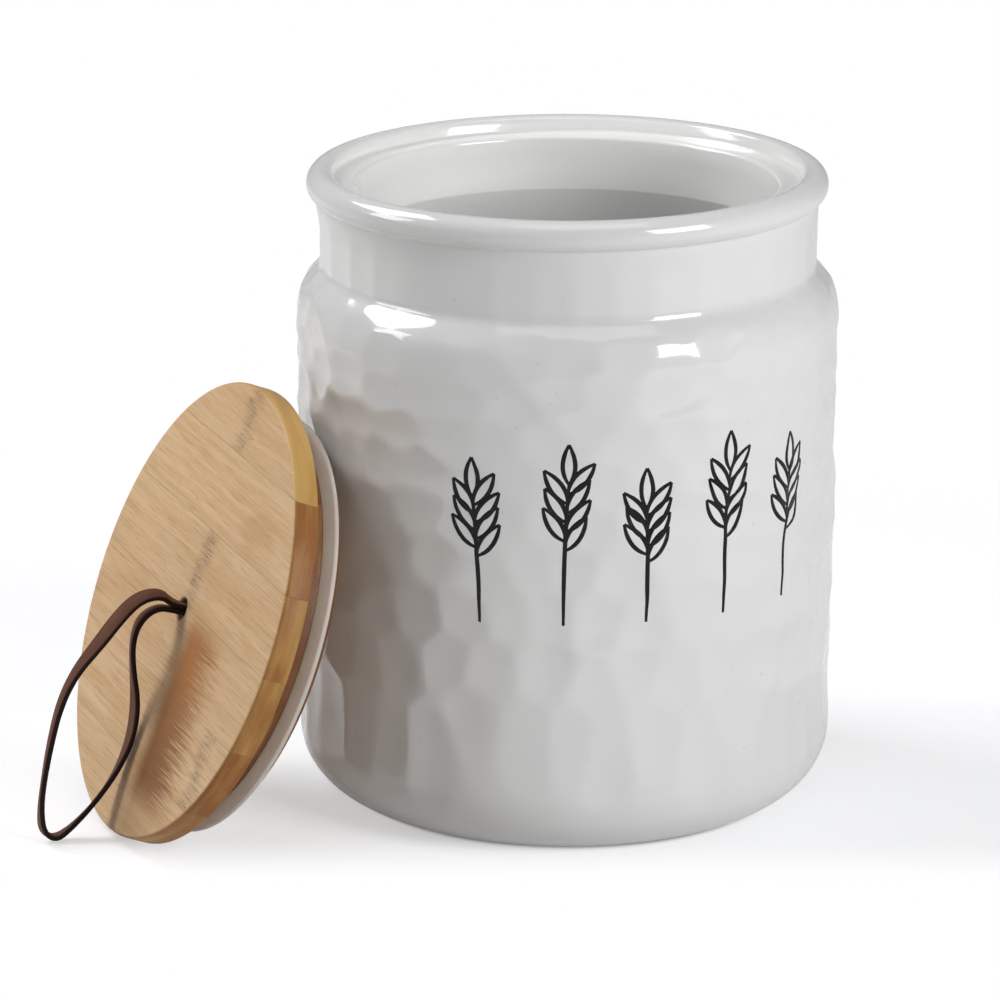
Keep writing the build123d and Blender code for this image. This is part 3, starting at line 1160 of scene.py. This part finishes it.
# %% [markdown]
# ## The ornament
#
# A row of ears of wheat is drawn on the front in black glaze, as a potter would with a fine
# brush: one stem, and grains to the left and right of it, each an outline of two strokes. The
# ears differ in height and lean. Geometry Nodes suit this well, because every ear is the same
# rule with other sizes: the tree draws all strokes as curves on a flat sheet, gives them the
# section of a thin line of glaze, and then lays the sheet on the wall, by sending a ray at
# the jar from in front of every point.

# %% A tree that draws the strokes of one ear on a flat sheet
sizes = "height lean grain_length grain_width stroke relief angle base wall"
kinds = {float: sizes, int: "pairs seed", bpy.types.Object: "jar"}
ear_tree, given = new_tree("wheat_ear", kinds)
stem_bend = 0.55
grain_belly = 0.42
grain_opening = 0.62
opening_jitter = 0.09


def flat_point(across, up):
    """A point on the flat sheet."""
    return vector(ear_tree, X=across, Y=up)


def stroke_between(start, middle, end, steps):
    """A curved stroke of the brush."""
    values = {"Resolution": steps, "Start": start, "Middle": middle, "End": end}
    return first(ear_tree, "GeometryNodeCurveQuadraticBezier", values)


def joined(one, other):
    """Two shapes as one."""
    join = add(ear_tree, "GeometryNodeJoinGeometry")
    ear_tree.links.new(one, join.inputs[0])
    ear_tree.links.new(other, join.inputs[0])
    return join.outputs[0]


# the stem, with a little lean
bottom = flat_point(0.0, 0.0)
stem_top = minus(given["height"], given["grain_length"])
bend = flat_point(0.0, times(stem_top, stem_bend))
stem = stroke_between(bottom, bend, flat_point(given["lean"], stem_top), 48)

# one grain: two strokes that part and meet again
belly = times(given["grain_length"], grain_belly)
point = flat_point(0.0, given["grain_length"])
left = stroke_between(bottom, flat_point(given["grain_width"], belly), point, 20)
right = stroke_between(bottom, flat_point(times(given["grain_width"], -1), belly), point, 20)
grain = joined(left, right)

# %% Set the grains on the upper part of the stem, left and right in turn
count = times(given["pairs"], 2)
values = {"Curve": stem, "Count": times(count, 2)}
dotted = first(ear_tree, "GeometryNodeResampleCurve", values, mode="COUNT")
index = add(ear_tree, "GeometryNodeSplineParameter").outputs["Index"]
upper = sum_of("GREATER_THAN", index, minus(count, 0.5))
at_tip = sum_of("GREATER_THAN", index, minus(times(count, 2), 1.5))
side = times(minus(sum_of("MODULO", index, 2), 0.5), 2)
opened = plus(times(side, grain_opening), at_random(index, given["seed"], opening_jitter))
opened = times(opened, minus(1, at_tip))
values = {"Points": dotted, "Selection": upper, "Instance": grain}
values["Rotation"] = vector(ear_tree, Z=opened)
grains = first(ear_tree, "GeometryNodeInstanceOnPoints", values)
grains = first(ear_tree, "GeometryNodeRealizeInstances", {"Geometry": grains})

# %% Give the strokes the section of a brush line
# a flat oval, pressed a little harder in the middle of a stroke
run = add(ear_tree, "GeometryNodeSplineParameter").outputs["Factor"]
pressed = spread(sum_of("SINE", times(run, math.pi)), 0, 1, 0.72, 1.08)
values = {"Curve": joined(stem, grains), "Radius": pressed}
strokes = first(ear_tree, "GeometryNodeSetCurveRadius", values)
oval = first(ear_tree, "GeometryNodeCurvePrimitiveCircle", {"Resolution": 8, "Radius": 0.5})
values = {"Geometry": oval}
values["Scale"] = vector(ear_tree, X=given["stroke"], Y=given["relief"], Z=1.0)
oval = first(ear_tree, "GeometryNodeTransform", values)
strokes = first(ear_tree, "GeometryNodeSetCurveNormal", {"Curve": strokes}, mode="Z_UP")
values = {"Curve": strokes, "Profile Curve": oval, "Fill Caps": True}
values["Scale"] = first(ear_tree, "GeometryNodeInputRadius")
drawn = first(ear_tree, "GeometryNodeCurveToMesh", values)

# %% Lay the sheet on the wall
across, up, lift = parts_of(here_on(ear_tree))
turned = plus(over(across, given["wall"]), given["angle"])
outward = vector(ear_tree, X=sum_of("COSINE", turned), Y=sum_of("SINE", turned))
start = scaled(outward, times(given["wall"], 1.5))
start = vector_sum("ADD", start, vector(ear_tree, Z=plus(up, given["base"])))
wall = add(ear_tree, "GeometryNodeObjectInfo", {"Object": given["jar"]}).outputs["Geometry"]
values = {"Target Geometry": wall, "Source Position": start}
values["Ray Direction"] = scaled(outward, -1.0)
hit = add(ear_tree, "GeometryNodeRaycast", values).outputs["Hit Position"]
ear = moved(drawn, vector_sum("ADD", hit, scaled(outward, lift)))
ear = first(ear_tree, "GeometryNodeSetShadeSmooth", {"Geometry": ear})
end_tree(ear, given["material"])

# %% Draw five ears round the front
ear_middle = math.radians(-73)
ear_spacing = math.radians(17.5)
ear_base = 74 * MM
ear_heights = [50 * MM, 55 * MM, 47 * MM, 55 * MM, 50 * MM]
ear_leans = [-2.0 * MM, 1.5 * MM, -0.5 * MM, 2.0 * MM, 2.5 * MM]
for number, (height, lean) in enumerate(zip(ear_heights, ear_leans), start=1):
    ear = grow(
        f"ink_ear_{number}",
        line_mesh(f"ink_ear_{number}", [(0, 0, 0)]),
        ear_tree,
        height=height,
        lean=lean,
        pairs=4,
        grain_length=12 * MM,
        grain_width=3.6 * MM,
        stroke=1.25 * MM,
        relief=0.24 * MM,
        angle=ear_middle + (number - 3) * ear_spacing,
        base=ear_base,
        wall=body_radius - 1 * MM,
        seed=number,
        jar=jar_shell,
        material=black_glaze,
    )
    wear(ear, "jar", "glaze")

# %% [markdown]
# ## Floor, background and light
#
# The jar stands on a white table. Close to the object the floor is a matt white that keeps the
# shadows; farther out, and soonest in front, it shines by itself, so that it ends in pure
# white. Under the jar and in the seam round its foot it is painted dark, as painted shade. The
# camera and the glossy rays see all this, but it adds no light: for all other rays the floor is
# plain.

# %% Helpers: an empty tree, and which rays see the white background
gloss_share = 0.36


def emptied(owner):
    """The node tree of a material or a world, with nothing in it."""
    owner.use_nodes = True
    owner.node_tree.nodes.clear()
    return owner.node_tree


def seen_by_eye(tree):
    """1 for rays from the camera or through glass, a share of it for reflections, else 0."""
    paths = add(tree, "ShaderNodeLightPath").outputs
    direct = sum_of("MAXIMUM", paths["Is Camera Ray"], paths["Is Transmission Ray"])
    glossy = times(paths["Is Glossy Ray"], gloss_share)
    return sum_of("MAXIMUM", direct, glossy)


# %% Make the floor
floor_size = 9.0
shadow_reach = 0.20
shadow_middle = (-0.05, 0, 0)
front_reach = -55 * MM
seam_reach = 7.5 * MM
floor_mesh = bpy.data.meshes.new("floor")
corner = floor_size / 2
floor_mesh.from_pydata(
    [(-corner, -corner, 0), (corner, -corner, 0), (corner, corner, 0), (-corner, corner, 0)],
    [],
    [(0, 1, 2, 3)],
)
floor = bpy.data.objects.new("floor", floor_mesh)
bpy.context.scene.collection.objects.link(floor)

floor_white = bpy.data.materials.new("floor_white")
tree = emptied(floor_white)
place = own_place(tree)
far = length_of(vector_sum("SUBTRACT", place, shadow_middle))
ahead = spread(parts_of(place)["Y"], front_reach, front_reach - 40 * MM)
away = sum_of("MAXIMUM", spread(far, shadow_reach, 2 * shadow_reach), ahead)
plain = first(tree, "ShaderNodeBsdfDiffuse", {"Color": (0.85, 0.85, 0.85, 1)})
shaded = first(tree, "ShaderNodeBsdfDiffuse", {"Color": (0.625, 0.63, 0.65, 1)})
base_glow = first(tree, "ShaderNodeEmission", {"Strength": 0.51})
near_floor = first(tree, "ShaderNodeAddShader", {0: shaded, 1: base_glow})
# painted shade: under the jar and in the seam round its foot the floor shows a dark diffuse
clear_of_painted_seam = spread(length_of(place), foot_outer + 2 * MM, foot_outer + seam_reach)
painted_seam_shade = first(tree, "ShaderNodeBsdfDiffuse", {"Color": (0.08, 0.08, 0.08, 1)})
near_floor = first(tree, "ShaderNodeMixShader", {0: clear_of_painted_seam, 1: painted_seam_shade, 2: near_floor})
white_glow = first(tree, "ShaderNodeEmission", {"Strength": 1.0})
shown = first(tree, "ShaderNodeMixShader", {0: away, 1: near_floor, 2: white_glow})
both = first(tree, "ShaderNodeMixShader", {0: seen_by_eye(tree), 1: plain, 2: shown})
add(tree, "ShaderNodeOutputMaterial", {"Surface": both})
floor_mesh.materials.append(floor_white)
print(f"floor: {len(tree.nodes)} nodes, dark up to {(foot_outer + seam_reach) / MM:.1f} mm")

# %% Make the world
soft_light = 0.03
world = bpy.data.worlds.new("white_studio")
bpy.context.scene.world = world
tree = emptied(world)
values = {"Value": seen_by_eye(tree), "To Min": soft_light}
strength = first(tree, "ShaderNodeMapRange", values)
values = {"Color": (1, 1, 1, 1), "Strength": strength}
add(tree, "ShaderNodeOutputWorld", {"Surface": first(tree, "ShaderNodeBackground", values)})
print(f"world: white to the eye, {soft_light} as light")


# %% [markdown]
# Four softboxes light the object: one from the left that catches the lid's face, a stronger one
# higher up behind it, a large one from the right front, and a soft one overhead. Their
# reflections are the windows of light on the rim and the shoulder.

# %% Hang the softboxes
def softbox(name, direction, distance, width, height, power):
    """A rectangular lamp that looks at the jar's middle from a direction."""
    lamp = bpy.data.lights.new(name, "AREA")
    lamp.shape = "RECTANGLE"
    lamp.size = width
    lamp.size_y = height
    lamp.energy = power
    box = bpy.data.objects.new(name, lamp)
    away = Vector(direction).normalized()
    box.location = away * distance + Vector((0, 0, jar_height / 2))
    box.rotation_euler = away.to_track_quat("Z", "Y").to_euler()
    bpy.context.scene.collection.objects.link(box)
    print(f"{name}: {power} W, {width} by {height}")


softbox("left_softbox", (-0.88, -0.05, 0.47), 1.4, 0.42, 0.5, 3.8)
softbox("back_softbox", (-0.62, 0.25, 0.74), 1.4, 0.65, 0.6, 10.5)
softbox("right_softbox", (0.72, -0.59, 0.40), 1.6, 0.7, 0.7, 16.5)
softbox("top_softbox", (0.05, -0.15, 0.95), 1.6, 1.0, 1.0, 4.0)

# %% [markdown]
# ## Finish
#
# Colours are shown as they are, with the Standard view.

# %% Finish
bpy.context.scene.view_settings.view_transform = "Standard"
